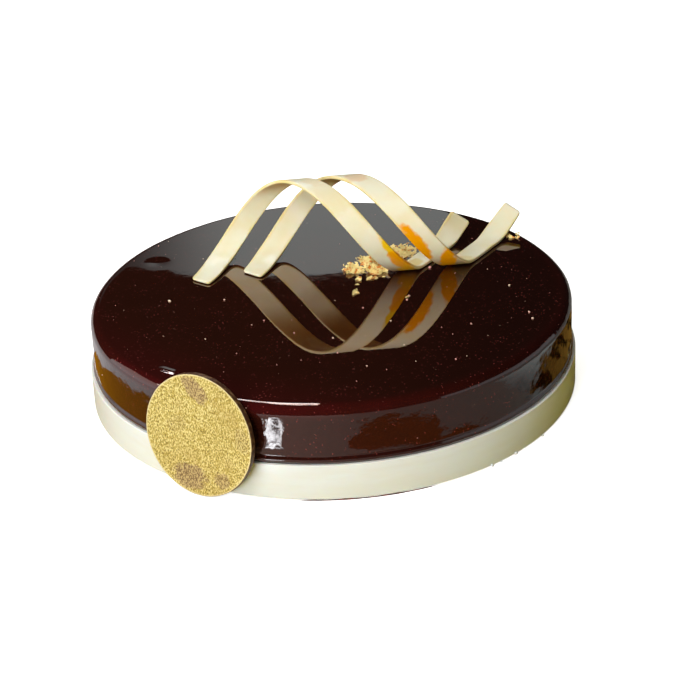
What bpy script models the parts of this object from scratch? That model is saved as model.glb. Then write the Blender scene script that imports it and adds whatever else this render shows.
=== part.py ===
"""A round chocolate-glazed torte with a white chocolate band, two curls, gold leaf and a gilded disc.

Metres, +Z up. The origin is the centre of the torte's flat underside, and the side that is
served to the front faces -Y. The torte is one uncut solid. Its band is a separate strip
wrapped round the side, the two curls stand on the glaze, and the disc stands in front on its
edge and leans on the torte.
"""

import math
import random

import bmesh
import bpy
from mathutils import Vector

# The torte
GLAZE_RADIUS = 0.1181
TORTE_HEIGHT = 0.0466
TOP_EDGE_RADIUS = 0.0050
TOP_EDGE_STEPS = 6
TORTE_SEGMENTS = 112
TOP_RINGS = (0.085, 0.045)
SIDE_WOBBLE = 0.00035

# The band round its side, and the gap that separate pieces keep
GAP = 0.0003
BAND_OUTER_RADIUS = 0.1200
BAND_THICKNESS = 0.0020
BAND_BOTTOM = 0.0006
BAND_TOP = 0.0181
BAND_EDGE_ROUND = 0.0004
BAND_SEGMENTS = 112

# The rolled lip of glaze that sits on the band's top edge
LIP_OVERHANG = 0.0007
LIP_HEIGHT = 0.0032
LIP_STEPS = 6

# The curls: flat strips wound on a tube, with a foot that lies flat on the glaze and a lifted tail
CURL_THICKNESS = 0.0024
CURL_REST_HEIGHT = CURL_THICKNESS / 2 + GAP
CURL_TROUGH_SOFTNESS = 0.0008
CURL_FOOT_SOFTNESS = 0.0015
CURL_FOOT_SLIDE = 2.18
CURL_TAIL_LENGTH = 0.0280
CURL_STATIONS = 64
CURL_CORNER = 0.0005
CURL_COLUMNS = (-1.0, -0.4, 0.4, 1.0)

# The gilded disc that leans on the torte
DISC_RADIUS = 0.0292
DISC_THICKNESS = 0.0030
DISC_EDGE_ROUND = 0.0004
DISC_SEGMENTS = 64
DISC_ROUND_TORTE = math.radians(-30.8)
DISC_FACING = math.radians(-33.4)
DISC_LEAN = math.radians(7.6)
DISC_FOOT_REACH = 0.1271

# The gold leaf, pressed on the glaze in small crumpled heaps
LEAF_SEED = 11
LEAF_SIDES = 9
LEAF_SINK = 0.0006


class Curl:
    """One strip wound round a level tube: where it stands and how it is wound."""

    def __init__(self, apex, turn, radius, advance, width, sink, ends, tail_start, tail_bend, tail_taper):
        self.apex = Vector(apex)
        self.along = Vector((math.cos(turn), math.sin(turn), 0.0))
        self.back = Vector((-math.sin(turn), math.cos(turn), 0.0))
        self.radius = radius
        self.advance = advance
        self.width = width
        self.sink = sink
        self.first_arc, self.last_arc = ends
        self.tail_arc = math.pi * radius + tail_start
        self.tail_bend = tail_bend
        self.tail_taper = tail_taper
        self.skew = advance * width / (1.0 + advance * advance)

    def section(self, arc):
        """The distance forward and the height at this length along the strip, the apex at 0."""
        angle = min(arc, self.tail_arc) / self.radius
        forward = self.radius * math.sin(angle)
        height = self.radius * (1.0 + math.cos(angle)) - self.sink
        if arc > self.tail_arc:
            bend = self.tail_bend / self.radius
            end_angle = angle + bend * (arc - self.tail_arc)
            forward += (math.sin(end_angle) - math.sin(angle)) / bend
            height += (math.cos(end_angle) - math.cos(angle)) / bend
        softness = CURL_TROUGH_SOFTNESS if arc > 0.0 else CURL_FOOT_SOFTNESS
        over = (height - CURL_REST_HEIGHT) / softness
        lift = softness * (math.log1p(math.exp(-abs(over))) + max(-over, 0.0))
        if arc < 0.0:
            forward += CURL_FOOT_SLIDE * lift
        return forward, height + lift

    def normal(self, arc):
        """The direction out of the tube at this length along the strip."""
        step = 0.0002
        forward_a, height_a = self.section(arc - step)
        forward_b, height_b = self.section(arc + step)
        out = self.back * (height_b - height_a) + Vector((0.0, 0.0, forward_b - forward_a))
        return out.normalized()

    def half_width(self, arc):
        """Half the strip's width, which narrows along the tail."""
        past = max(arc - self.tail_arc, 0.0) / CURL_TAIL_LENGTH
        return self.width / 2 * (1.0 - self.tail_taper * past * past)

    def point(self, arc, across, off):
        """A point of the strip: across runs from -1 to 1 over its width, off is along its normal."""
        arc -= across * self.skew / 2
        forward, height = self.section(arc)
        place = self.apex + self.along * (self.advance * arc + across * self.half_width(arc))
        place += self.back * -forward + Vector((0.0, 0.0, height))
        return place + self.normal(arc) * off


CURLS = {
    "curl_front": Curl(
        apex=(-0.0082, 0.0323, TORTE_HEIGHT),
        turn=0.062,
        radius=0.02424,
        advance=0.764,
        width=0.0134,
        sink=0.00311,
        ends=(-0.0762, 0.1028),
        tail_start=-0.0040,
        tail_bend=1.25,
        tail_taper=-0.05,
    ),
    "curl_back": Curl(
        apex=(0.0165, 0.0341, TORTE_HEIGHT),
        turn=0.068,
        radius=0.02382,
        advance=0.771,
        width=0.0140,
        sink=0.00206,
        ends=(-0.0738, 0.1067),
        tail_start=0.0134,
        tail_bend=0.06,
        tail_taper=0.29,
    ),
}

# Each heap of leaf: centre, half length, half depth, its tallest crumple, its flakes and their size
LEAF_HEAPS = (
    ((0.0200, 0.0265), 0.0078, 0.0048, 0.0026, 9, 0.0042),
    ((0.0400, 0.0440), 0.0040, 0.0036, 0.0022, 5, 0.0036),
    ((0.0148, 0.0128), 0.0, 0.0, 0.0010, 1, 0.0028),
    ((0.0212, 0.0150), 0.0, 0.0, 0.0010, 1, 0.0030),
    ((0.0274, 0.0155), 0.0, 0.0, 0.0008, 1, 0.0012),
    ((0.0137, 0.0088), 0.0, 0.0, 0.0008, 1, 0.0014),
    ((0.0127, -0.0014), 0.0, 0.0, 0.0010, 1, 0.0026),
    ((0.0375, -0.0090), 0.0, 0.0, 0.0007, 1, 0.0012),
    ((0.0965, 0.0565), 0.0022, 0.0006, 0.0010, 2, 0.0022),
)


def clear_scene():
    for obj in list(bpy.data.objects):
        bpy.data.objects.remove(obj, do_unlink=True)


def finish(name, colour, roughness, metallic=0.0, coat=0.0):
    """A plain Principled material."""
    material = bpy.data.materials.new(name)
    material.use_nodes = True
    shader = material.node_tree.nodes["Principled BSDF"]
    shader.inputs["Base Color"].default_value = (*colour, 1.0)
    shader.inputs["Roughness"].default_value = roughness
    shader.inputs["Metallic"].default_value = metallic
    shader.inputs["Coat Weight"].default_value = coat
    return material


def object_from(bm, name, material=None):
    """Closes the bmesh into an object that is shaded smooth over its soft edges."""
    bmesh.ops.recalc_face_normals(bm, faces=bm.faces)
    mesh = bpy.data.meshes.new(name)
    bm.to_mesh(mesh)
    bm.free()
    mesh.shade_smooth()
    mesh.set_sharp_from_angle(angle=math.radians(35))
    if material:
        mesh.materials.append(material)
    obj = bpy.data.objects.new(name, mesh)
    bpy.context.scene.collection.objects.link(obj)
    return obj


def turned(profile, segments):
    """A bmesh turned about +Z from (radius, height) points. A point at radius 0 closes it."""
    bm = bmesh.new()
    corners = [bm.verts.new((radius, 0.0, height)) for radius, height in profile]
    edges = [bm.edges.new(pair) for pair in zip(corners, corners[1:])]
    if profile[0][0] > 0.0:
        edges.append(bm.edges.new((corners[-1], corners[0])))
    bmesh.ops.spin(
        bm,
        geom=corners + edges,
        cent=(0.0, 0.0, 0.0),
        axis=(0.0, 0.0, 1.0),
        angle=2 * math.pi,
        steps=segments,
        use_merge=True,
    )
    bmesh.ops.remove_doubles(bm, verts=bm.verts, dist=1e-6)
    return bm


def arc_points(centre, radius, first_degrees, last_degrees, steps):
    """(radius, height) points on an arc, both ends included."""
    points = []
    for step in range(steps + 1):
        angle = math.radians(first_degrees + (last_degrees - first_degrees) * step / steps)
        points.append((centre[0] + radius * math.cos(angle), centre[1] + radius * math.sin(angle)))
    return points


def torte_profile():
    """The turned outline: sponge behind the band, rolled lip, glazed side, round edge, level top."""
    sponge_radius = BAND_OUTER_RADIUS - BAND_THICKNESS - GAP
    lip_bottom = BAND_TOP + GAP
    profile = [(0.0, 0.0), (sponge_radius, 0.0), (sponge_radius, lip_bottom)]
    for step in range(LIP_STEPS + 1):
        part = step / LIP_STEPS
        bulge = LIP_OVERHANG * math.sin(math.pi * (0.22 + 0.78 * part))
        profile.append((GLAZE_RADIUS + bulge, lip_bottom + LIP_HEIGHT * part))
    side_top = TORTE_HEIGHT - TOP_EDGE_RADIUS
    profile.append((GLAZE_RADIUS, (lip_bottom + LIP_HEIGHT + side_top) / 2))
    edge_centre = (GLAZE_RADIUS - TOP_EDGE_RADIUS, side_top)
    profile += arc_points(edge_centre, TOP_EDGE_RADIUS, 0, 90, TOP_EDGE_STEPS)
    profile += [(radius, TORTE_HEIGHT) for radius in TOP_RINGS]
    return profile + [(0.0, TORTE_HEIGHT)]


def side_wobble(turn):
    """How far the poured glaze runs out of round at this angle, from -1 to 1."""
    return 0.5 * math.sin(3 * turn + 0.7) + 0.3 * math.sin(7 * turn + 2.1) + 0.2 * math.sin(13 * turn)


def glaze_wobble(bm):
    """Moves the glazed side in and out a little, above the band only."""
    start = BAND_TOP + GAP + LIP_HEIGHT
    for vert in bm.verts:
        reach = math.hypot(vert.co.x, vert.co.y)
        if vert.co.z < start or reach < TOP_RINGS[0] + 0.001:
            continue
        rise = min(1.0, (vert.co.z - start) / LIP_HEIGHT)
        shift = SIDE_WOBBLE * rise * side_wobble(math.atan2(vert.co.y, vert.co.x))
        vert.co.x *= 1.0 + shift / reach
        vert.co.y *= 1.0 + shift / reach


def leaf_flake(name, centre, size, height, rng):
    """One crumpled flake: a craggy crown over an uneven rim, its foot sunk in the glaze."""
    bm = bmesh.new()
    turn = rng.uniform(0.0, math.pi)
    stretch = rng.uniform(1.1, 1.7)
    rings = {"foot": [], "rim": [], "crown": []}
    shares = {"foot": 0.85, "rim": 1.0, "crown": rng.uniform(0.45, 0.6)}
    for side in range(LEAF_SIDES):
        angle = 2 * math.pi * side / LEAF_SIDES
        reach = size * rng.uniform(0.72, 1.1)
        levels = {
            "foot": -LEAF_SINK,
            "rim": height * rng.uniform(0.2, 0.5),
            "crown": height * rng.uniform(0.5, 1.0),
        }
        for ring, verts in rings.items():
            along = reach * shares[ring] * math.cos(angle) * stretch
            across = reach * shares[ring] * math.sin(angle) / stretch
            x = centre[0] + along * math.cos(turn) - across * math.sin(turn)
            y = centre[1] + along * math.sin(turn) + across * math.cos(turn)
            verts.append(bm.verts.new((x, y, TORTE_HEIGHT + levels[ring])))
    peak = bm.verts.new((centre[0], centre[1], TORTE_HEIGHT + height * rng.uniform(0.4, 0.9)))
    base = bm.verts.new((centre[0], centre[1], TORTE_HEIGHT - LEAF_SINK))
    for side in range(LEAF_SIDES):
        after = (side + 1) % LEAF_SIDES
        foot, rim, crown = rings["foot"], rings["rim"], rings["crown"]
        bm.faces.new((base, foot[after], foot[side]))
        bm.faces.new((foot[side], foot[after], rim[after]))
        bm.faces.new((foot[side], rim[after], rim[side]))
        bm.faces.new((rim[side], rim[after], crown[after]))
        bm.faces.new((rim[side], crown[after], crown[side]))
        bm.faces.new((crown[side], crown[after], peak))
    return object_from(bm, name)


def gold_leaf(collection):
    """Every flake of every heap, as cutters in one collection."""
    rng = random.Random(LEAF_SEED)
    for heap, (centre, half_length, half_depth, height, count, size) in enumerate(LEAF_HEAPS):
        for flake in range(count):
            angle = 2 * math.pi * (flake + rng.uniform(-0.2, 0.2)) / count
            out = math.sqrt(rng.uniform(0.35, 1.0)) if flake else 0.0
            place = (
                centre[0] + half_length * out * math.cos(angle),
                centre[1] + half_depth * out * math.sin(angle),
            )
            tall = height * rng.uniform(0.6, 1.0)
            wide = size * rng.uniform(0.8, 1.1)
            obj = leaf_flake(f"leaf_{heap}_{flake}", place, wide, tall, rng)
            bpy.context.scene.collection.objects.unlink(obj)
            collection.objects.link(obj)


def fuse(obj, collection):
    """Joins every object of the collection into this one, then removes them."""
    union = obj.modifiers.new("fused flakes", "BOOLEAN")
    union.operation = "UNION"
    union.operand_type = "COLLECTION"
    union.collection = collection
    union.solver = "EXACT"
    graph = bpy.context.evaluated_depsgraph_get()
    fused = bpy.data.meshes.new_from_object(obj.evaluated_get(graph))
    obj.modifiers.remove(union)
    obj.data = fused
    for flake in list(collection.objects):
        bpy.data.objects.remove(flake, do_unlink=True)
    bpy.data.collections.remove(collection)


def make_torte():
    bm = turned(torte_profile(), TORTE_SEGMENTS)
    glaze_wobble(bm)
    glaze = finish("dark mirror glaze", (0.020, 0.006, 0.005), 0.05, coat=1.0)
    torte = object_from(bm, "glazed_torte", glaze)
    flakes = bpy.data.collections.new("gold leaf")
    bpy.context.scene.collection.children.link(flakes)
    gold_leaf(flakes)
    fuse(torte, flakes)


def make_band():
    inner = BAND_OUTER_RADIUS - BAND_THICKNESS
    outer = BAND_OUTER_RADIUS
    soft = BAND_EDGE_ROUND
    profile = [(inner, BAND_TOP), (inner, BAND_BOTTOM), (outer, BAND_BOTTOM)]
    profile += [(outer, BAND_TOP - soft), (outer - 0.3 * soft, BAND_TOP - 0.3 * soft)]
    profile += [(outer - soft, BAND_TOP)]
    chocolate = finish("white chocolate", (0.72, 0.66, 0.46), 0.38)
    object_from(turned(profile, BAND_SEGMENTS), "white_chocolate_band", chocolate)


def curl_ring(curl, arc):
    """The strip's cross-section at one station, as points in order round its rounded edge."""
    half = CURL_THICKNESS / 2
    corner = CURL_CORNER / (curl.width / 2)
    edge = 1.0 - corner
    ring = [(across * edge, half) for across in CURL_COLUMNS]
    ring += [(1.0, half - CURL_CORNER), (1.0, CURL_CORNER - half)]
    ring += [(across * edge, -half) for across in reversed(CURL_COLUMNS)]
    ring += [(-1.0, CURL_CORNER - half), (-1.0, half - CURL_CORNER)]
    return [curl.point(arc, across, off) for across, off in ring]


def make_curl(name, curl, chocolate):
    """A strip swept along its winding, with square ends."""
    bm = bmesh.new()
    rings = []
    for station in range(CURL_STATIONS + 1):
        arc = curl.first_arc + (curl.last_arc - curl.first_arc) * station / CURL_STATIONS
        rings.append([bm.verts.new(point) for point in curl_ring(curl, arc)])
    for first, second in zip(rings, rings[1:]):
        for side in range(len(first)):
            after = (side + 1) % len(first)
            bm.faces.new((first[side], first[after], second[after], second[side]))
    bm.faces.new(rings[0])
    bm.faces.new(rings[-1])
    object_from(bm, name, chocolate)


def make_disc():
    """A short cylinder with soft edges, standing on its edge and leaning back on the torte."""
    soft = DISC_EDGE_ROUND
    half = DISC_THICKNESS / 2
    profile = [(0.0, -half), (DISC_RADIUS - soft, -half), (DISC_RADIUS, soft - half)]
    profile += [(DISC_RADIUS, half - soft), (DISC_RADIUS - soft, half), (0.0, half)]
    gilt = finish("gilded dark chocolate", (0.40, 0.26, 0.07), 0.42, metallic=0.6)
    disc = object_from(turned(profile, DISC_SEGMENTS), "gold_disc", gilt)
    disc.rotation_euler = (math.pi / 2 - DISC_LEAN, 0.0, DISC_FACING)
    # The front face's lowest point stands this far out, and the centre is half a thickness behind it.
    facing = Vector((math.sin(DISC_FACING), -math.cos(DISC_FACING), 0.0))
    outward = Vector((math.sin(DISC_ROUND_TORTE), -math.cos(DISC_ROUND_TORTE), 0.0))
    face_centre = outward * DISC_FOOT_REACH - facing * (DISC_RADIUS * math.sin(DISC_LEAN))
    face_centre.z = DISC_RADIUS * math.cos(DISC_LEAN)
    face_normal = facing * math.cos(DISC_LEAN) + Vector((0.0, 0.0, math.sin(DISC_LEAN)))
    back_drop = DISC_THICKNESS * math.sin(DISC_LEAN)
    disc.location = face_centre - face_normal * half + Vector((0.0, 0.0, back_drop))


def main():
    clear_scene()
    make_torte()
    make_band()
    curl_chocolate = finish("cream curl chocolate", (0.80, 0.70, 0.45), 0.35)
    for name, curl in CURLS.items():
        make_curl(name, curl, curl_chocolate)
    make_disc()


main()
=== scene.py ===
"""A round chocolate-glazed torte with a white chocolate band, two curls, gold leaf and a gilded disc.

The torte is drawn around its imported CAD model, in metres, with +Z up and the served side facing -Y.
Each sub-assembly is a class that keeps its sizes and builds and dresses its own pieces. Each finish
is a small frozen class that lays one procedural material. What repeats or follows a path is grown
by Geometry Nodes: the band, the flakes of gold leaf, the specks in the glaze and the crumbs.
"""

import logging
import math
from dataclasses import dataclass
from enum import Enum

import bmesh
import bpy
from mathutils import Matrix, Vector, noise


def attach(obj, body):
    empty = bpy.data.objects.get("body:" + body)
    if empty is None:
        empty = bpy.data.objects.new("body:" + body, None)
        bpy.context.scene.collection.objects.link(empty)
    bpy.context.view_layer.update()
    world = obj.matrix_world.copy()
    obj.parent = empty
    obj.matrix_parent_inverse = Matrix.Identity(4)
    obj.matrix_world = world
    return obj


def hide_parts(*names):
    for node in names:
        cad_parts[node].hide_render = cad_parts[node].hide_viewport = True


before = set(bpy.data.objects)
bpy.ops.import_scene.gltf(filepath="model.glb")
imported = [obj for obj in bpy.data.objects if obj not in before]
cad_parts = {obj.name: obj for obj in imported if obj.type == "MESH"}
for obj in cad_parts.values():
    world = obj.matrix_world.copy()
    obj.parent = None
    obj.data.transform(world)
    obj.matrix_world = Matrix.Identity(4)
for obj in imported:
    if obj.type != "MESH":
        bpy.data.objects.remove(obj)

Socket = bpy.types.NodeSocket
Material = bpy.types.Material
Mesh = bpy.types.Mesh
Object = bpy.types.Object
Point = tuple[float, float]
Place = tuple[float, float, float]
Colour = Place
Value = Socket | float | Place

BODY = "root"
MM = 0.001
GLAZED_TOP = 0.0466
UP = Vector((0.0, 0.0, 1.0))
PATTERN_RANGE = (0.3, 0.7)


class Slot(Enum):
    """The record's material slots."""

    GLAZE = "dark_glaze"
    BAND = "white_chocolate"
    CURL = "curl_chocolate"
    GOLD = "edible_gold"


class Node(Enum):
    """The solids that the pieces stand for."""

    TORTE = "glazed_torte"
    BAND = "white_chocolate_band"
    CURL_FRONT = "curl_front"
    CURL_BACK = "curl_back"
    DISC = "gold_disc"


# Node trees


class Bench:
    """A node tree, with short ways to lay nodes in it."""

    def __init__(self, tree: bpy.types.NodeTree) -> None:
        """Keeps the tree."""
        self.tree = tree

    def add(self, kind: str, inputs: dict | None = None, **settings: object) -> bpy.types.Node:
        """Lays one node.

        Args:
            kind: The node's type name.
            inputs: Values or sockets for its inputs, by their name or number.
            settings: The node's own settings.

        Returns:
            The node.
        """
        node = self.tree.nodes.new(kind)
        for name, value in settings.items():
            setattr(node, name, value)
        for name, value in (inputs or {}).items():
            if isinstance(value, Socket):
                self.tree.links.new(value, node.inputs[name])
            else:
                node.inputs[name].default_value = value
        return node

    def math(self, operation: str, first: Value, second: Value) -> Socket:
        """Returns the result of a Math node."""
        return self.add("ShaderNodeMath", {0: first, 1: second}, operation=operation).outputs[0]

    def plus(self, first: Value, second: Value) -> Socket:
        """Returns the sum of two numbers."""
        return self.math("ADD", first, second)

    def minus(self, first: Value, second: Value) -> Socket:
        """Returns the first number less the second."""
        return self.math("SUBTRACT", first, second)

    def times(self, first: Value, second: Value) -> Socket:
        """Returns the product of two numbers."""
        return self.math("MULTIPLY", first, second)

    def larger(self, first: Value, second: Value) -> Socket:
        """Returns the larger of two numbers."""
        return self.math("MAXIMUM", first, second)

    def squares(self, first: Value, second: Value) -> Socket:
        """Returns the sum of two numbers' squares."""
        return self.plus(self.times(first, first), self.times(second, second))

    def vector_math(self, operation: str, first: Value, second: Value) -> Socket:
        """Returns the vector of a Vector Math node."""
        return self.add("ShaderNodeVectorMath", {0: first, 1: second}, operation=operation).outputs[0]

    def scaled(self, vector: Value, factor: Value) -> Socket:
        """Returns the vector times a number."""
        return self.add("ShaderNodeVectorMath", {0: vector, "Scale": factor}, operation="SCALE").outputs[0]

    def length(self, vector: Value) -> Socket:
        """Returns how long a vector is."""
        return self.add("ShaderNodeVectorMath", {0: vector}, operation="LENGTH").outputs["Value"]

    def axes(self, vector: Value) -> tuple[Socket, ...]:
        """Returns the three numbers of a vector."""
        return tuple(self.add("ShaderNodeSeparateXYZ", {0: vector}).outputs)

    def joined(self, *numbers: Value) -> Socket:
        """Returns three numbers as a vector."""
        return self.add("ShaderNodeCombineXYZ", dict(enumerate(numbers))).outputs[0]

    def mapped(self, value: Value, low: float, high: float, to: Point, **settings: object) -> Socket:
        """Returns the value mapped from low..high to the two numbers, by a Map Range node."""
        inputs = {"Value": value, "From Min": low, "From Max": high, "To Min": to[0], "To Max": to[1]}
        return self.add("ShaderNodeMapRange", inputs, **settings).outputs[0]

    def step(self, value: Value, low: float, high: float, to: Point = (0.0, 1.0)) -> Socket:
        """Returns a smooth step of the value from low to high, mapped to the two numbers."""
        return self.mapped(value, low, high, to, interpolation_type="SMOOTHSTEP")

    def line(self, value: Value, low: float, high: float, to: Point = (0.0, 1.0)) -> Socket:
        """Returns a straight mapping of the value from low..high to the two numbers, not clamped."""
        return self.mapped(value, low, high, to, clamp=False)

    def noise(self, vector: Value, scale: Value, detail: float = 2.0, rough: float = 0.5) -> Socket:
        """Returns the number of a Noise Texture on these coordinates."""
        inputs = {"Vector": vector, "Scale": scale, "Detail": detail, "Roughness": rough}
        return self.add("ShaderNodeTexNoise", inputs).outputs[0]

    def mix(self, factor: Value, first: Value, second: Value) -> Socket:
        """Returns a blend of two colours."""
        inputs = {0: factor, 6: first, 7: second}
        for index in (6, 7):
            if not isinstance(inputs[index], Socket):
                inputs[index] = (*inputs[index], 1.0)
        return self.add("ShaderNodeMix", inputs, data_type="RGBA").outputs[2]


class Paint(Bench):
    """One Principled material in the making."""

    def __init__(self, name: str, **fixed: float) -> None:
        """Starts the material.

        Args:
            name: The material's name.
            fixed: Values that are the same all over, by their socket's name with _ for each space.
        """
        self.material = bpy.data.materials.new(name)
        self.material.use_nodes = True
        super().__init__(self.material.node_tree)
        self.shader = self.tree.nodes["Principled BSDF"]
        for socket, value in fixed.items():
            self.shader.inputs[socket.replace("_", " ")].default_value = value
        self.place = self.add("ShaderNodeTexCoord").outputs["Object"]

    def set(self, socket: str, value: Socket) -> None:
        """Links a value that varies over the surface to the shader."""
        self.tree.links.new(value, self.shader.inputs[socket])

    def cloud(self, scale: float, detail: float = 2.0, rough: float = 0.5) -> Socket:
        """Returns noise over the surface."""
        return self.noise(self.place, scale, detail, rough)

    def bump(self, *heights: tuple[Socket, float]) -> None:
        """Raises the surface.

        Args:
            heights: Each pattern from 0 to 1 with the height in metres that it stands for.
        """
        normal = None
        for height, distance in heights:
            inputs = {"Height": height, "Distance": distance, "Strength": 1.0}
            if normal:
                inputs["Normal"] = normal
            normal = self.add("ShaderNodeBump", inputs).outputs[0]
        self.set("Normal", normal)

    def radius(self) -> Socket:
        """Returns the distance from the torte's axis."""
        return self.length(self.vector_math("MULTIPLY", self.place, (1.0, 1.0, 0.0)))


class ShapeTree(Bench):
    """A Geometry Nodes tree with named sizes, which grows a plain mesh out of another mesh."""

    def __init__(self, name: str, sizes: dict[str, float | int]) -> None:
        """Starts the tree.

        Args:
            name: The tree's name.
            sizes: Its named inputs with their values. Whole numbers become whole-number inputs.
        """
        super().__init__(bpy.data.node_groups.new(name, "GeometryNodeTree"))
        face = self.tree.interface
        face.new_socket("Geometry", in_out="INPUT", socket_type="NodeSocketGeometry")
        for size, value in sizes.items():
            kind = "NodeSocketInt" if isinstance(value, int) else "NodeSocketFloat"
            face.new_socket(size, in_out="INPUT", socket_type=kind)
        face.new_socket("Finish", in_out="INPUT", socket_type="NodeSocketMaterial")
        face.new_socket("Geometry", in_out="OUTPUT", socket_type="NodeSocketGeometry")
        self.sizes = sizes
        self.given = self.tree.nodes.new("NodeGroupInput").outputs

    def form(self, kind: str, inputs: dict | None = None, **settings: object) -> Socket:
        """Lays a Geometry node, named without its prefix, and returns its first output."""
        return self.add("GeometryNode" + kind, inputs, **settings).outputs[0]

    def place(self) -> Socket:
        """Returns the position of each point."""
        return self.form("InputPosition")

    def named(self, name: str, kind: str = "FLOAT") -> Socket:
        """Returns a named attribute."""
        return self.form("InputNamedAttribute", {"Name": name}, data_type=kind)

    def random_vector(self, low: Place, high: Place, seed: Value) -> Socket:
        """Returns a random vector between two others."""
        inputs = {0: low, 1: high, "Seed": seed}
        return self.add("FunctionNodeRandomValue", inputs, data_type="FLOAT_VECTOR").outputs[0]

    def knobs(self, scale: float, detail: float, height: Value) -> Socket:
        """Returns an offset that lumps a surface, in noise of this scale and height."""
        inputs = {"Vector": self.place(), "Scale": scale, "Detail": detail}
        colour = self.add("ShaderNodeTexNoise", inputs).outputs[1]
        return self.scaled(self.vector_math("SUBTRACT", colour, (0.5, 0.5, 0.5)), height)

    def close(self, geometry: Socket) -> None:
        """Ends the tree: instances made real, the finish set and the result put out."""
        real = self.form("RealizeInstances", {"Geometry": geometry})
        dressed = self.form("SetMaterial", {"Geometry": real, "Material": self.given["Finish"]})
        self.add("NodeGroupOutput", {0: dressed})

    def grow(self, name: str, start: Mesh, finish: Material) -> Object:
        """Runs the tree.

        Args:
            name: The new object's name.
            start: The mesh that goes in.
            finish: The material of the result.

        Returns:
            An object with the result as its plain mesh, and no modifier.
        """
        obj = linked(name, start)
        modifier = obj.modifiers.new(name, "NODES")
        modifier.node_group = self.tree
        values = {**self.sizes, "Finish": finish}
        for item in self.tree.interface.items_tree:
            if item.in_out == "INPUT" and item.name in values:
                modifier[item.identifier] = values[item.name]
        mesh = settle(obj, modifier)
        mesh.name = name
        if not mesh.materials:
            mesh.materials.append(finish)
        mesh.shade_smooth()
        return obj


# Meshes


def linked(name: str, data: bpy.types.ID) -> Object:
    """Returns a new object with this data, linked into the scene."""
    obj = bpy.data.objects.new(name, data)
    bpy.context.scene.collection.objects.link(obj)
    return obj


def settle(obj: Object, modifier: bpy.types.Modifier) -> Mesh:
    """Turns a modifier's result into the object's plain mesh.

    Args:
        obj: The object.
        modifier: Its only modifier, which is then removed.

    Returns:
        The plain mesh.
    """
    graph = bpy.context.evaluated_depsgraph_get()
    mesh = bpy.data.meshes.new_from_object(obj.evaluated_get(graph))
    obj.modifiers.remove(modifier)
    obj.data = mesh
    return mesh


def mesh_object(mesh: Mesh, *finishes: Material) -> Object:
    """Links a smooth-shaded mesh into the scene, under its own name and with its materials."""
    for finish in finishes:
        mesh.materials.append(finish)
    mesh.shade_smooth()
    return linked(mesh.name, mesh)


def hand_over(piece: Object, slot: Slot, *stands_for: Node) -> None:
    """Rides a finished piece on the body and hides the solids that it stands for.

    Args:
        piece: The finished piece, at the origin.
        slot: The record's slot that it takes its finish from; not used.
        stands_for: The solids that it replaces.
    """
    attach(piece, BODY)
    if stands_for:
        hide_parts(*(node.value for node in stands_for))
    logging.info("%s: %d faces", piece.name, len(piece.data.polygons))


def turned_mesh(name: str, profile: list[Point], segments: int) -> Mesh:
    """Turns (radius, height) points about +Z, up the outside of the form.

    Args:
        name: The mesh's name.
        profile: The points, with a single pole where the radius is 0.
        segments: How many sides the turning has.

    Returns:
        A closed mesh that faces outwards.
    """
    verts: list[Place] = []
    rings: list[list[int]] = []
    for radius, height in profile:
        first = len(verts)
        if radius == 0.0:
            verts.append((0.0, 0.0, height))
            rings.append([first] * segments)
            continue
        for side in range(segments):
            turn = 2 * math.pi * side / segments
            verts.append((radius * math.cos(turn), radius * math.sin(turn), height))
        rings.append(list(range(first, first + segments)))
    faces = []
    for low, high in zip(rings, rings[1:]):
        for side in range(segments):
            after = (side + 1) % segments
            corners = (low[side], low[after], high[after], high[side])
            faces.append(tuple(dict.fromkeys(corners)))
    mesh = bpy.data.meshes.new(name)
    mesh.from_pydata(verts, [], faces)
    return mesh


def swept_mesh(name: str, rings: list[list[Vector]]) -> Mesh:
    """Joins closed rings of points into a tube.

    Args:
        name: The mesh's name.
        rings: The rings in order, each with the same number of points.

    Returns:
        The tube with flat ends, facing outwards.
    """
    size = len(rings[0])
    verts = [point for ring in rings for point in ring]
    faces = []
    for low in range(0, len(verts) - size, size):
        for side in range(size):
            after = (side + 1) % size
            faces.append((low + side, low + after, low + size + after, low + size + side))
    faces.append(tuple(range(size)))
    faces.append(tuple(range(len(verts) - size, len(verts))))
    mesh = bpy.data.meshes.new(name)
    mesh.from_pydata(verts, [], faces)
    bm = bmesh.new()
    bm.from_mesh(mesh)
    bmesh.ops.recalc_face_normals(bm, faces=bm.faces)
    bm.to_mesh(mesh)
    bm.free()
    return mesh


def chart_mesh(mesh: Mesh, name: str, chart: list[Point]) -> None:
    """Gives a mesh a UV map.

    Args:
        mesh: The mesh.
        name: The map's name.
        chart: The place of each of its points on the map.
    """
    layer = mesh.uv_layers.new(name=name)
    for loop in mesh.loops:
        layer.data[loop.index].uv = chart[loop.vertex_index]


def arc_points(centre: Point, radius: float, first: float, last: float, steps: int) -> list[Point]:
    """Returns points on an arc of a profile.

    Args:
        centre: The arc's centre.
        radius: Its radius.
        first: The angle that it starts at, in degrees.
        last: The angle that it ends at.
        steps: How many steps it has.

    Returns:
        The points, both ends included.
    """
    angles = [math.radians(first + (last - first) * step / steps) for step in range(steps + 1)]
    return [(centre[0] + radius * math.cos(angle), centre[1] + radius * math.sin(angle)) for angle in angles]


def evenly(first: float, last: float, steps: int) -> list[float]:
    """Returns the numbers between two ends, the first left out and the last included."""
    return [first + (last - first) * step / steps for step in range(1, steps + 1)]


def wave(place: Vector, length: float, seed: float) -> float:
    """Returns smooth noise from -1 to 1 whose waves are this long."""
    return noise.noise(place / length + Vector((seed, 2.7 * seed, -1.3 * seed)))


def share(value: float, low: float, high: float) -> float:
    """Returns how far the value has come from low to high, from 0 to 1."""
    return min(1.0, max(0.0, (value - low) / (high - low)))


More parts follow.
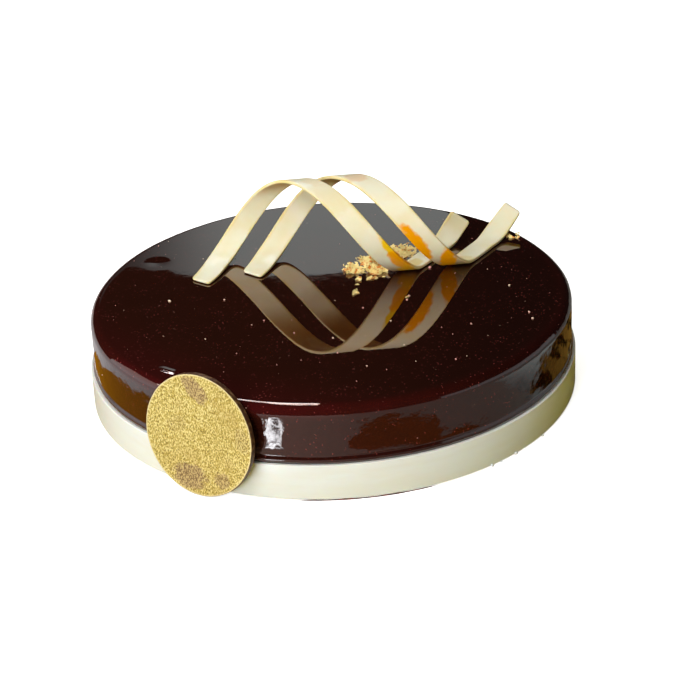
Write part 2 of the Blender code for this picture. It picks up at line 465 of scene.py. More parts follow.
def rounding(inward: float) -> float:
    """Returns a quarter circle's height, from 0 at an end to 1 at one radius from it and beyond."""
    return math.sqrt(max(0.0, 1.0 - (1.0 - min(1.0, inward)) ** 2))


def strewn_grains(name: str, grains: list[tuple[Vector, float]], rough: float, finish: Material) -> Object:
    """Grows rough grains.

    Args:
        name: The new object's name.
        grains: Where each one lies, and half its length.
        rough: How far their lumps stand out, in metres.
        finish: Their material.

    Returns:
        All the grains as one plain mesh.
    """
    mesh = bpy.data.meshes.new(name)
    mesh.from_pydata([place for place, _ in grains], [], [])
    grain_size = mesh.attributes.new("grain size", "FLOAT", "POINT")
    grain_size.data.foreach_set("value", [size for _, size in grains])
    tree = ShapeTree(name, {"Seed": 4, "Roughness": rough})
    given = tree.given
    ball = tree.form("MeshIcoSphere", {"Radius": 1.0, "Subdivisions": 3})
    shape = tree.scaled((0.85, 0.6, 0.6), tree.named("grain size"))
    turn = tree.random_vector((0.0, 0.0, 0.0), (0.5, 0.5, 6.283), given["Seed"])
    inputs = {"Points": given["Geometry"], "Instance": ball, "Scale": shape, "Rotation": turn}
    real = tree.form("RealizeInstances", {"Geometry": tree.form("InstanceOnPoints", inputs)})
    lumps = tree.knobs(900.0, 3.0, given["Roughness"])
    tree.close(tree.form("SetPosition", {"Geometry": real, "Offset": lumps}))
    return tree.grow(name, mesh, finish)


# Finishes


@dataclass(frozen=True)
class MirrorGlaze:
    """Poured chocolate glaze: near black, redder where it is thin at the rim, and mirror smooth. Painted
    light makes it redder over the front-left, and painted shade warms the top's reflections.
    """

    name: str = "mirror glaze"
    deep: Colour = (0.0190, 0.0041, 0.0018)
    cloud: Colour = (0.0280, 0.0056, 0.0025)
    deepest: Colour = (0.0115, 0.0022, 0.0012)
    thin: Colour = (0.048, 0.0040, 0.0042)
    side: Colour = (0.029, 0.0048, 0.0040)
    pearl: Colour = (0.250, 0.050, 0.048)
    # Painted shade: a warm tint on the top's reflections, which browns the mirrored undersides of the curls.
    tint: Colour = (1.0, 0.30, 0.02)
    tinted_heights: Point = (0.0435, 0.0462)
    shoulder_heights: Point = (0.0395, 0.0450)
    level_heights: Point = (0.0400, 0.0452)
    rim_radii: Point = (0.1085, 0.1170)
    # Painted light: how far out from the middle the redder flush over the front-left reaches.
    lit_flush_radii: Point = (0.070, 0.112)
    streaked: Point = (0.45, 1.0)
    # Painted light: the rim streaks are strongest over the front-left, where the key light falls, and a
    # redder flush lies there.
    served_lean: float = 0.75
    served: Point = (-0.150, -0.040)
    unserved_share: float = 0.25
    lit_flush_span: Point = (-0.150, -0.075)
    lit_flush_strength: float = 0.6
    away: Point = (-0.03, 0.10)
    away_share: float = 0.85
    dust_scale: float = 560.0
    dust_grain: Point = (0.08, 0.22)
    dust_drift: Point = (0.38, 0.66)
    gloss: Point = (0.012, 0.035)
    level_share: float = 0.06
    sag_height: float = 0.00018
    chop_height: float = 0.000080
    flow_height: float = 0.0000050
    grain_height: float = 0.0000020

    def thinness_and_lit_flush(self, paint: Paint) -> Socket:
        """Returns how far the glaze is painted red: thin glaze at the rim in streaks, and painted light,
        which makes the streaks strongest and lays a redder flush over the front-left, where the key light
        falls.

        Args:
            paint: The material in the making.

        Returns:
            A number from 0 to 1.
        """
        away, front, _ = paint.axes(paint.place)
        served = paint.plus(paint.times(away, self.served_lean), front)
        streaks = paint.step(paint.cloud(34.0, 3.0), 0.30, 0.62, self.streaked)
        rim = paint.times(paint.step(paint.radius(), *self.rim_radii), streaks)
        rim = paint.times(rim, paint.step(served, *self.served, (1.0, self.unserved_share)))
        # Painted light: a redder flush over the front-left, where the key light falls.
        near = paint.step(served, *self.lit_flush_span, (self.lit_flush_strength, 0.0))
        return paint.larger(rim, paint.times(paint.step(paint.radius(), *self.lit_flush_radii), near))

    def material(self) -> Material:
        """Lays the material."""
        paint = Paint(self.name, IOR=1.75, Coat_Weight=1.0, Coat_Roughness=0.012, Coat_IOR=1.6)
        away, _, height = paint.axes(paint.place)
        tinted = paint.step(height, *self.tinted_heights)
        # Painted shade: the top's reflections are tinted warm, so the mirrored undersides of the curls look
        # brown.
        paint.set("Specular Tint", paint.mix(tinted, (1.0, 1.0, 1.0), self.tint))
        deep = paint.mix(paint.cloud(22.0, 4.0), self.deep, self.cloud)
        deep = paint.mix(paint.step(away, *self.away, (0.0, self.away_share)), deep, self.deepest)
        # Thin glaze at the rim and a painted-light flush over the front-left both turn the top redder.
        top = paint.mix(self.thinness_and_lit_flush(paint), deep, self.thin)
        wall = paint.mix(paint.cloud(60.0, 3.0), self.side, self.deep)
        poured = paint.mix(paint.step(height, *self.shoulder_heights), wall, top)
        cells = paint.add("ShaderNodeTexVoronoi", {"Vector": paint.place, "Scale": self.dust_scale})
        dust = paint.step(cells.outputs["Distance"], *self.dust_grain, (1.0, 0.0))
        dust = paint.times(dust, paint.step(paint.cloud(95.0), *self.dust_drift))
        paint.set("Base Color", paint.mix(dust, poured, self.pearl))
        paint.set("Roughness", paint.step(paint.cloud(90.0, 4.0), 0.3, 0.8, self.gloss))
        on_wall = paint.step(height, *self.level_heights, (1.0, self.level_share))
        sag = paint.times(paint.cloud(150.0), on_wall)
        chop = paint.times(paint.cloud(420.0), on_wall)
        flow = (paint.cloud(75.0, 3.0), self.flow_height)
        grain = (paint.cloud(900.0), self.grain_height)
        paint.bump((sag, self.sag_height), (chop, self.chop_height), flow, grain)
        return paint.material


@dataclass(frozen=True)
class BandChocolate:
    """Ivory white chocolate: satin and a little uneven, with a painted highlight along its cut top edge.

    Dents and grain are each the scale of a pattern and its height.
    """

    name: str = "ivory white chocolate"
    body: Colour = (0.76, 0.81, 0.87)
    shade: Colour = (0.74, 0.77, 0.79)
    # Painted highlight: the paler colour along the band's top edge.
    edge: Colour = (0.92, 0.92, 0.86)
    painted_highlight_heights: Point = (0.0177, 0.0181)
    gloss: Point = (0.30, 0.42)
    dents: Point = (70.0, 0.00022)
    grain: Point = (700.0, 0.000018)

    def material(self) -> Material:
        """Lays the material."""
        paint = Paint(
            self.name,
            IOR=1.46,
            Subsurface_Weight=0.12,
            Subsurface_Scale=0.002,
            Coat_Weight=0.12,
            Coat_Roughness=0.22,
        )
        height = paint.axes(paint.place)[2]
        stretched = paint.vector_math("MULTIPLY", paint.place, (1.0, 1.0, 5.0))
        cloud = paint.noise(stretched, 26.0, 5.0, 0.6)
        body = paint.mix(paint.step(cloud, 0.35, 0.7), self.body, self.shade)
        # Painted highlight: the band's top edge is made paler.
        paint.set("Base Color", paint.mix(paint.step(height, *self.painted_highlight_heights), body, self.edge))
        paint.set("Roughness", paint.step(cloud, *PATTERN_RANGE, self.gloss))
        dents = paint.cloud(self.dents[0], 3.0)
        grain = paint.noise(stretched, self.grain[0], 3.0)
        paint.bump((dents, self.dents[1]), (grain, self.grain[1]))
        return paint.material


@dataclass(frozen=True)
class Smear:
    """One smear of colour on a curl, placed by its length along the strip and its place across.

    Lengths are in millimetres from the strip's highest point; across runs from -1 to 1.
    """

    arc: float
    across: float
    half_arc: float
    half_across: float
    colour: Colour
    strength: float = 1.0
    slope: float = 0.0


@dataclass(frozen=True)
class CurlChocolate:
    """Cream white chocolate: buttery along its edges, with smears of orange colour, and painted shade that
    browns its undersides, darkest low down.
    """

    name: str
    first_arc: float
    last_arc: float
    smears: tuple[Smear, ...]
    body: Colour = (0.91, 0.865, 0.66)
    cloud: Colour = (0.89, 0.81, 0.54)
    butter: Colour = (0.86, 0.68, 0.24)
    # Painted shade: the browns laid on the undersides, darker near the glaze.
    shaded_low: Colour = (0.46, 0.22, 0.05)
    shaded_high: Colour = (0.58, 0.35, 0.11)
    shaded_heights: Point = (0.0490, 0.0720)
    gloss: Point = (0.28, 0.40)
    uneven: float = 0.14
    ragged: float = 0.35

    def material(self) -> Material:
        """Lays the material, on the strip's own UV map."""
        paint = Paint(
            self.name,
            IOR=1.46,
            Subsurface_Weight=0.15,
            Subsurface_Scale=0.002,
            Coat_Weight=0.15,
            Coat_Roughness=0.18,
        )
        along, over, _ = paint.axes(paint.add("ShaderNodeUVMap", uv_map="strip").outputs[0])
        arc = paint.line(along, 0.0, 1.0, (self.first_arc / MM, self.last_arc / MM))
        across = paint.line(over, 0.0, 1.0, (-1.0, 1.0))
        cloud = paint.cloud(85.0, 4.0)
        colour = paint.mix(paint.step(cloud, 0.34, 0.74), self.body, self.cloud)
        uneven = paint.line(cloud, *PATTERN_RANGE, (-self.uneven, self.uneven))
        rough_edge = paint.plus(paint.math("ABSOLUTE", across, 0.0), uneven)
        colour = paint.mix(paint.step(rough_edge, 0.74, 1.08, (0.0, 0.75)), colour, self.butter)
        # Painted shade: the more an underside faces down, the browner it is, and darker low down.
        under = paint.add("ShaderNodeAttribute", attribute_name="under").outputs["Fac"]
        height = paint.axes(paint.place)[2]
        shaded = paint.mix(paint.step(height, *self.shaded_heights), self.shaded_low, self.shaded_high)
        colour = paint.mix(paint.step(under, 0.34, 0.90, (0.0, 0.95)), colour, shaded)
        ragged = paint.line(paint.cloud(260.0, 3.0), *PATTERN_RANGE, (-self.ragged, self.ragged))
        for smear in self.smears:
            shifted = paint.minus(arc, paint.times(across, smear.slope))
            far = paint.line(shifted, smear.arc, smear.arc + smear.half_arc)
            side = paint.line(across, smear.across, smear.across + smear.half_across)
            reach = paint.plus(paint.squares(far, side), ragged)
            colour = paint.mix(paint.step(reach, 0.45, 1.25, (smear.strength, 0.0)), colour, smear.colour)
        paint.set("Base Color", colour)
        paint.set("Roughness", paint.step(cloud, *PATTERN_RANGE, self.gloss))
        paint.bump((paint.cloud(150.0, 3.0), 0.00010), (paint.cloud(900.0), 0.000012))
        return paint.material


@dataclass(frozen=True)
class BarePatch:
    """A place where the gold is worn off the disc, in millimetres on its face."""

    right: float
    up: float
    half_width: float
    half_height: float
    lean: float
    strength: float


@dataclass(frozen=True)
class GoldDust:
    """Gold dust brushed on dark chocolate: grainy, brighter at the rim, worn through in places."""

    name: str
    patches: tuple[BarePatch, ...]
    gold: Colour = (0.62, 0.47, 0.105)
    bright: Colour = (1.0, 0.88, 0.40)
    brushed: Colour = (0.52, 0.35, 0.10)
    pit: Colour = (0.10, 0.055, 0.014)
    bare: Colour = (0.17, 0.100, 0.050)
    rubbed: Colour = (0.54, 0.40, 0.19)
    rim: Colour = (1.0, 0.88, 0.50)
    radius: float = 29.2
    rim_width: float = 1.1
    full_rim_width: float = 0.5
    rim_share: float = 0.8
    ragged: float = 0.45
    metal: Point = (0.45, 0.05)
    gloss: Point = (0.55, 0.36)

    def wear(self, paint: Paint, right: Socket, up: Socket) -> Socket:
        """Returns how far the gold is worn off.

        Args:
            paint: The material in the making.
            right: How far to the right on the face, in millimetres.
            up: How far up.

        Returns:
            A number from 0 to 1.
        """
        ragged = paint.line(paint.cloud(330.0, 4.0, 0.7), *PATTERN_RANGE, (-self.ragged, self.ragged))
        worn = 0.0
        for patch in self.patches:
            turn, turned = math.cos(patch.lean), math.sin(patch.lean)
            x = paint.minus(right, patch.right)
            y = paint.minus(up, patch.up)
            long = paint.plus(paint.times(x, turn), paint.times(y, turned))
            wide = paint.minus(paint.times(y, turn), paint.times(x, turned))
            far = paint.math("DIVIDE", long, patch.half_width)
            side = paint.math("DIVIDE", wide, patch.half_height)
            reach = paint.plus(paint.squares(far, side), ragged)
            worn = paint.larger(worn, paint.step(reach, 0.55, 1.30, (patch.strength, 0.0)))
        return worn

    def material(self) -> Material:
        """Lays the material, on the disc's own UV map."""
        paint = Paint(self.name, IOR=1.5, Coat_Weight=0.08, Coat_Roughness=0.3)
        across, over, _ = paint.axes(paint.add("ShaderNodeUVMap", uv_map="face").outputs[0])
        right = paint.line(across, 0.0, 1.0, (-self.radius, self.radius))
        up = paint.line(over, 0.0, 1.0, (-self.radius, self.radius))
        slanted = paint.vector_math("MULTIPLY", paint.place, (1.0, 1.0, 0.62))
        grain = paint.noise(slanted, 1750.0, 1.0)
        speckle = paint.cloud(2400.0)
        brushed = paint.cloud(75.0, 4.0, 0.6)
        colour = paint.mix(paint.step(grain, 0.47, 0.60), self.gold, self.bright)
        pits = paint.step(paint.plus(grain, paint.times(speckle, 0.4)), 0.51, 0.61, (0.66, 0.0))
        colour = paint.mix(pits, colour, self.pit)
        colour = paint.mix(paint.step(brushed, 0.5, 0.75, (0.0, 0.35)), colour, self.brushed)
        worn = self.wear(paint, right, up)
        colour = paint.mix(worn, colour, paint.mix(paint.step(grain, 0.38, 0.62), self.bare, self.rubbed))
        middle = paint.length(paint.joined(right, up, 0.0))
        rim_starts, rim_full = self.radius - self.rim_width, self.radius - self.full_rim_width
        rim = paint.step(middle, rim_starts, rim_full, (0.0, self.rim_share))
        paint.set("Base Color", paint.mix(rim, colour, self.rim))
        paint.set("Metallic", paint.line(worn, 0.0, 1.0, self.metal))
        paint.set("Roughness", paint.step(grain, *PATTERN_RANGE, self.gloss))
        paint.bump((brushed, 0.00012), (grain, 0.00015), (speckle, 0.00004))
        return paint.material


@dataclass(frozen=True)
class MottledFinish:
    """A finish that one pattern of noise mottles from one colour to another, and roughens and raises."""

    name: str
    low: Colour
    high: Colour
    pattern: Place
    blend: Point
    gloss: Point
    refraction: float = 1.5
    coat: float = 0.0
    coat_roughness: float = 0.0
    relief: float = 0.0
    grain_scale: float = 1100.0
    grain_relief: float = 0.0

    def material(self) -> Material:
        """Lays the material."""
        coat = {"Coat_Weight": self.coat, "Coat_Roughness": self.coat_roughness}
        paint = Paint(self.name, IOR=self.refraction, **coat)
        pattern = paint.cloud(*self.pattern)
        paint.set("Base Color", paint.mix(paint.step(pattern, *self.blend), self.low, self.high))
        paint.set("Roughness", paint.step(pattern, *PATTERN_RANGE, self.gloss))
        reliefs = [(pattern, self.relief)]
        if self.grain_relief:
            reliefs.append((paint.cloud(self.grain_scale), self.grain_relief))
        if self.relief:
            paint.bump(*reliefs)
        return paint.material


@dataclass(frozen=True)
class DarkChocolate(MottledFinish):
    """The disc's own dark chocolate, seen at its edge and back."""

    name: str = "dark chocolate edge"
    low: Colour = (0.070, 0.028, 0.014)
    high: Colour = (0.260, 0.140, 0.065)
    pattern: Place = (420.0, 4.0, 0.6)
    blend: Point = (0.48, 0.70)
    gloss: Point = (0.34, 0.55)
    refraction: float = 1.40
    coat: float = 0.06
    coat_roughness: float = 0.3
    relief: float = 0.00010
    grain_relief: float = 0.00002


@dataclass(frozen=True)
class LeafGold(MottledFinish):
    """Edible gold leaf: crinkled bright metal, with painted highlights and painted shade as its paler and
    darker mottle.
    """

    name: str = "gold leaf"
    # Painted shade and painted highlight: the darker and paler gold of the mottle.
    low: Colour = (0.74, 0.24, 0.03)
    high: Colour = (1.0, 0.81, 0.33)
    pattern: Place = (480.0, 3.0, 0.6)
    blend: Point = (0.38, 0.49)
    gloss: Point = (0.42, 0.26)
    refraction: float = 1.6
    coat: float = 0.5
    coat_roughness: float = 0.15
    relief: float = 0.00005


@dataclass(frozen=True)
class SpeckDust(MottledFinish):
    """The specks that lie on the glaze: dusty pink grains and gold crumbs."""

    name: str = "specks on the glaze"
    low: Colour = (0.85, 0.40, 0.36)
    high: Colour = (1.0, 0.78, 0.58)
    pattern: Place = (170.0, 1.0, 0.5)
    blend: Point = (0.50, 0.58)
    gloss: Point = (0.5, 0.3)


@dataclass(frozen=True)
class SeepedGlaze(MottledFinish):
    """Glaze that has crept out under the band: wet and dark red, paler where it is thin."""

    name: str = "seeped glaze"
    low: Colour = (0.060, 0.006, 0.006)
    high: Colour = (0.30, 0.055, 0.050)
    pattern: Place = (380.0, 3.0, 0.5)
    blend: Point = (0.40, 0.68)
    gloss: Point = (0.10, 0.22)
    coat: float = 1.0
    coat_roughness: float = 0.05
    relief: float = 0.00006


# The torte and what lies on its glaze


@dataclass(frozen=True)
class Swelling:
    """A low round rise in the level glaze, or a dent where its height is less than 0."""

    centre: Point
    size: float
    height: float


@dataclass
class GlazedTorte:
    """The glazed torte: level top, round edge, wall and the lip that the glaze rolled on the band."""

    radius: float = 0.1181
    edge_radius: float = 0.0050
    foot_radius: float = 0.1177
    lip_bottom: float = 0.0184
    lip_height: float = 0.0032
    lip_overhang: float = 0.0007
    wobble: float = 0.00035
    ripple: float = 0.000034
    swell: float = 0.000012
    wobbly_radii: Point = (0.086, 0.111)
    steep_radii: Point = (0.109, 0.115)
    lumpiest: float = -0.42
    segments: int = 720
    swellings: tuple[Swelling, ...] = (
        Swelling((-0.0870, 0.0478), 0.0042, -0.00024),
        Swelling((-0.0800, -0.0711), 0.0017, 0.00018),
        Swelling((-0.0785, -0.0722), 0.0017, 0.00018),
        Swelling((-0.0769, -0.0734), 0.0017, 0.00018),
        Swelling((-0.0754, -0.0745), 0.0017, 0.00018),
        Swelling((-0.0738, -0.0757), 0.0017, 0.00018),
        Swelling((-0.0800, 0.0020), 0.0034, -0.00005),
        Swelling((-0.0620, 0.0060), 0.0050, -0.00005),
        Swelling((0.0660, -0.0400), 0.0030, -0.00005),
    )

    def profile(self) -> list[Point]:
        """Returns the outline from the middle of the underside to the middle of the top."""
        points = [(0.0, 0.0)]
        points += [(reach, 0.0) for reach in evenly(0.02, self.foot_radius, 5)]
        points += [(self.foot_radius, level) for level in evenly(0.0, self.lip_bottom, 4)]
        for part in [0.0, *evenly(0.0, 1.0, 16)]:
            bulge = self.lip_overhang * math.sin(math.pi * (0.22 + 0.78 * part))
            points.append((self.radius + bulge, self.lip_bottom + self.lip_height * part))
        side_top = GLAZED_TOP - self.edge_radius
        points += [(self.radius, level) for level in evenly(points[-1][1], side_top, 28)][:-1]
        points += arc_points((self.radius - self.edge_radius, side_top), self.edge_radius, 0, 90, 18)
        points += [(reach, GLAZED_TOP) for reach in evenly(points[-1][0], 0.085, 24)]
        points += [(reach, GLAZED_TOP) for reach in evenly(0.085, 0.0, 20)]
        return points

    def pour(self, place: Vector) -> Vector:
        """Moves one point of the turned form to where the poured glaze has run.

        Args:
            place: The point on the turned form.

        Returns:
            The point on the poured glaze.
        """
        reach = math.hypot(place.x, place.y)
        if reach < 1e-6 or place.z < self.lip_bottom:
            return place
        turn = math.atan2(place.y, place.x)
        run = 0.5 * math.sin(3 * turn + 0.7) + 0.3 * math.sin(7 * turn + 2.1) + 0.2 * math.sin(13 * turn)
        lip_top = self.lip_bottom + self.lip_height
        rise = share(place.z, lip_top, lip_top + self.lip_height)
        out = self.wobble * rise * run * share(reach, *self.wobbly_radii)
        out += self.lip_overhang * 0.35 * (1 - rise) * wave(place, 0.014, 3.0)
        steep = share(reach, *self.steep_radii)
        lumpy = 1.0 + 1.6 * math.exp(-(((turn - self.lumpiest) / 0.30) ** 2))
        ripples = lumpy * (1.1 * wave(place, 0.0038, 1.0) + 1.3 * wave(place, 0.009, 4.0))
        out += steep * self.ripple * (ripples + 1.8 * wave(place, 0.021, 2.0))
        lift = (1.0 - steep) * self.swell * (wave(place, 0.020, 5.0) + wave(place, 0.055, 6.0))
        if place.z > GLAZED_TOP - 0.0002:
            for swelling in self.swellings:
                far = math.dist(place.xy, swelling.centre) / swelling.size
                lift += swelling.height * math.exp(-far * far) * (far < 3.0)
        scale = 1.0 + out / reach
        return Vector((place.x * scale, place.y * scale, place.z + lift))

    def build(self, finish: Material) -> Object:
        """Builds the fine form and dresses it.

        Args:
            finish: The glaze's material.

        Returns:
            The piece, for what lies on it.
        """
        mesh = turned_mesh("torte_glaze", self.profile(), self.segments)
        for vert in mesh.vertices:
            vert.co = self.pour(vert.co)
        piece = mesh_object(mesh, finish)
        hand_over(piece, Slot.GLAZE, Node.TORTE)
        return piece


@dataclass(frozen=True)
class LeafHeap:
    """One heap of gold leaf: its place on the glaze, its reach, its height and its flakes."""

    centre: Point
    half_length: float
    half_depth: float
    height: float
    flakes: int
    size: float


@dataclass
class GoldLeaf:
    """Crumpled, torn flakes of gold leaf in small heaps on the glaze."""

    wall: float = 0.00009
    lift: float = 0.00012
    crumple: float = 0.0016
    torn_past: float = 0.86
    holed_past: float = 0.63
    heaps: tuple[LeafHeap, ...] = (
        LeafHeap((0.0195, 0.0235), 0.0085, 0.0024, 0.0014, 12, 0.0092),
        LeafHeap((0.0200, 0.0300), 0.0040, 0.0030, 0.0040, 7, 0.0088),
        LeafHeap((0.0262, 0.0212), 0.0036, 0.0010, 0.0018, 5, 0.0078),
        LeafHeap((0.0394, 0.0420), 0.0044, 0.0036, 0.0024, 9, 0.0094),
        LeafHeap((0.0142, 0.0140), 0.0010, 0.0006, 0.0004, 3, 0.0052),
        LeafHeap((0.0218, 0.0146), 0.0016, 0.0006, 0.0005, 3, 0.0056),
        LeafHeap((0.0274, 0.0155), 0.0001, 0.0001, 0.0003, 1, 0.0024),
        LeafHeap((0.0137, 0.0088), 0.0001, 0.0001, 0.0003, 1, 0.0028),
        LeafHeap((0.0127, -0.0014), 0.0004, 0.0004, 0.0003, 2, 0.0050),
        LeafHeap((0.0375, -0.0090), 0.0001, 0.0001, 0.0003, 1, 0.0024),
        LeafHeap((0.0957, 0.0565), 0.0026, 0.0030, 0.0007, 5, 0.0036),
    )

    def start(self) -> Mesh:
        """Returns a point for each heap, with its sizes as attributes."""
        mesh = bpy.data.meshes.new("leaf heaps")
        mesh.from_pydata([(*heap.centre, GLAZED_TOP) for heap in self.heaps], [], [])
        spread = mesh.attributes.new("spread", "FLOAT_VECTOR", "POINT")
        for item, heap in zip(spread.data, self.heaps):
            item.vector = (heap.half_length, heap.half_depth, heap.height)
        size = mesh.attributes.new("flake size", "FLOAT", "POINT")
        size.data.foreach_set("value", [heap.size for heap in self.heaps])
        count = mesh.attributes.new("flakes", "INT", "POINT")
        count.data.foreach_set("value", [heap.flakes for heap in self.heaps])
        return mesh

    def strewn(self, tree: ShapeTree) -> Socket:
        """Strews square sheets in each heap.

        Args:
            tree: The tree in the making.

        Returns:
            The sheets, each point marked with its distance from its sheet's middle.
        """
        given = tree.given
        seeds = [tree.plus(given["Seed"], offset) for offset in (1, 2, 3)]
        inputs = {"Geometry": given["Geometry"], "Amount": tree.named("flakes", "INT")}
        copies = tree.form("DuplicateElements", inputs, domain="POINT")
        throw = tree.random_vector((-1.0, -1.0, 0.1), (1.0, 1.0, 1.0), seeds[0])
        offset = tree.vector_math("MULTIPLY", throw, tree.named("spread", "FLOAT_VECTOR"))
        points = tree.form("SetPosition", {"Geometry": copies, "Offset": offset})
        sheet = tree.form("MeshGrid", {"Size X": 1.0, "Size Y": 1.0, "Vertices X": 29, "Vertices Y": 25})
        inputs = {"Geometry": sheet, "Name": "from middle", "Value": tree.length(tree.place())}
        marked = tree.form("StoreNamedAttribute", inputs, data_type="FLOAT", domain="POINT")
        turn = tree.random_vector((0.40, -0.25, -0.8), (1.15, 0.25, 0.8), seeds[1])
        stretch = tree.random_vector((0.75, 0.55, 1.0), (1.15, 0.85, 1.0), seeds[2])
        size = tree.scaled(stretch, tree.named("flake size"))
        inputs = {"Points": points, "Instance": marked, "Rotation": turn, "Scale": size}
        return tree.form("RealizeInstances", {"Geometry": tree.form("InstanceOnPoints", inputs)})

    def tree(self) -> ShapeTree:
        """Returns the tree: flakes strewn in each heap, torn by noise, crumpled and laid on the glaze."""
        sizes = {"Seed": 11, "Crumple": self.crumple, "Lowest": GLAZED_TOP + self.lift, "Tear Scale": 420.0}
        tree = ShapeTree("gold leaf flakes", sizes)
        real = self.strewn(tree)
        tear = tree.times(tree.noise(tree.place(), tree.given["Tear Scale"], 3.0, 0.55), 0.9)
        torn = tree.math("GREATER_THAN", tree.plus(tree.named("from middle"), tear), self.torn_past)
        holed = tree.math("GREATER_THAN", tree.noise(tree.place(), 640.0, 1.0), self.holed_past)
        gone = tree.larger(torn, holed)
        left = tree.form("DeleteGeometry", {"Geometry": real, "Selection": gone}, domain="FACE")
        folds = tree.knobs(210.0, 2.0, tree.given["Crumple"])
        folded = tree.form("SetPosition", {"Geometry": left, "Offset": folds})
        lowest = tree.joined(-1.0, -1.0, tree.given["Lowest"])
        laid = tree.vector_math("MAXIMUM", tree.place(), lowest)
        tree.close(tree.form("SetPosition", {"Geometry": folded, "Position": laid}))
        return tree

    def build(self, finish: Material) -> None:
        """Grows the flakes, gives them their wall and hands them over.

        Args:
            finish: The leaf's material.
        """
        piece = self.tree().grow("gold_leaf", self.start(), finish)
        wall = piece.modifiers.new("leaf", "SOLIDIFY")
        wall.thickness = self.wall
        wall.offset = 1.0
        settle(piece, wall).shade_flat()
        hand_over(piece, Slot.GOLD, Node.TORTE)


@dataclass
class GlazeSpecks:
    """Specks of gold and pink grains that settled on the glaze, on its top and its wall.

    Each settled one has its place to the right and back, and its size.
    """

    density: float = 5200.0
    grain: float = 0.00013
    lowest: float = 0.0230
    seed: int = 7
    raised: float = 0.3
    lumps: float = 0.0006
    settled: tuple[Place, ...] = (
        (-0.0324, -0.0268, 0.00060), (-0.0382, -0.0305, 0.00048), (0.0283, -0.0344, 0.00062),
        (0.0155, -0.0184, 0.00045), (0.0331, -0.0605, 0.00042), (0.0002, -0.0492, 0.00050),
        (0.0384, -0.0077, 0.00075), (0.0372, -0.0121, 0.00060), (0.0465, 0.0278, 0.00080),
        (0.0507, 0.0236, 0.00095), (-0.0790, 0.0010, 0.00085), (-0.0520, -0.0010, 0.00070),
        (0.0660, -0.0420, 0.00050), (0.0880, -0.0020, 0.00060), (0.0945, -0.0330, 0.00065),
        (0.0955, -0.0400, 0.00070), (-0.0180, -0.0420, 0.00050), (0.0020, -0.0650, 0.00045),
        (-0.0450, -0.0600, 0.00045), (0.0560, -0.0780, 0.00050), (0.0150, -0.0800, 0.00050),
    )

    def build(self, glaze: Object, finish: Material) -> None:
        """Strews the specks over the glaze.

        Args:
            glaze: The piece that they lie on.
            finish: Their material.
        """
        sizes = {"Seed": self.seed, "Density": self.density, "Grain": self.grain, "Lowest": self.lowest}
        tree = ShapeTree("specks on glaze", sizes)
        given = tree.given
        upper = tree.math("GREATER_THAN", tree.axes(tree.place())[2], given["Lowest"])
        inputs = {"Mesh": given["Geometry"], "Selection": upper, "Density": given["Density"]}
        points = tree.form("DistributePointsOnFaces", {**inputs, "Seed": given["Seed"]})
        inputs = {2: 0.0, 3: 1.0, "Seed": given["Seed"]}
        chance = tree.add("FunctionNodeRandomValue", inputs, data_type="FLOAT").outputs[1]
        growth = tree.plus(0.6, tree.times(tree.math("POWER", chance, 5.0), 2.0))
        ball = tree.form("MeshIcoSphere", {"Radius": given["Grain"], "Subdivisions": 1})
        tree.close(tree.form("InstanceOnPoints", {"Points": points, "Instance": ball, "Scale": growth}))
        hand_over(tree.grow("glaze_specks", glaze.data.copy(), finish), Slot.GOLD, Node.TORTE)
        grains = [(Vector((x, y, GLAZED_TOP + size * self.raised)), size) for x, y, size in self.settled]
        hand_over(strewn_grains("settled_flecks", grains, self.lumps, finish), Slot.GOLD, Node.TORTE)


# The band


def round_foot(degrees: float) -> Vector:
    """Returns the way out from the torte's axis, at this angle to the right of the front."""
    return Vector((math.sin(math.radians(degrees)), -math.cos(math.radians(degrees)), 0.0))


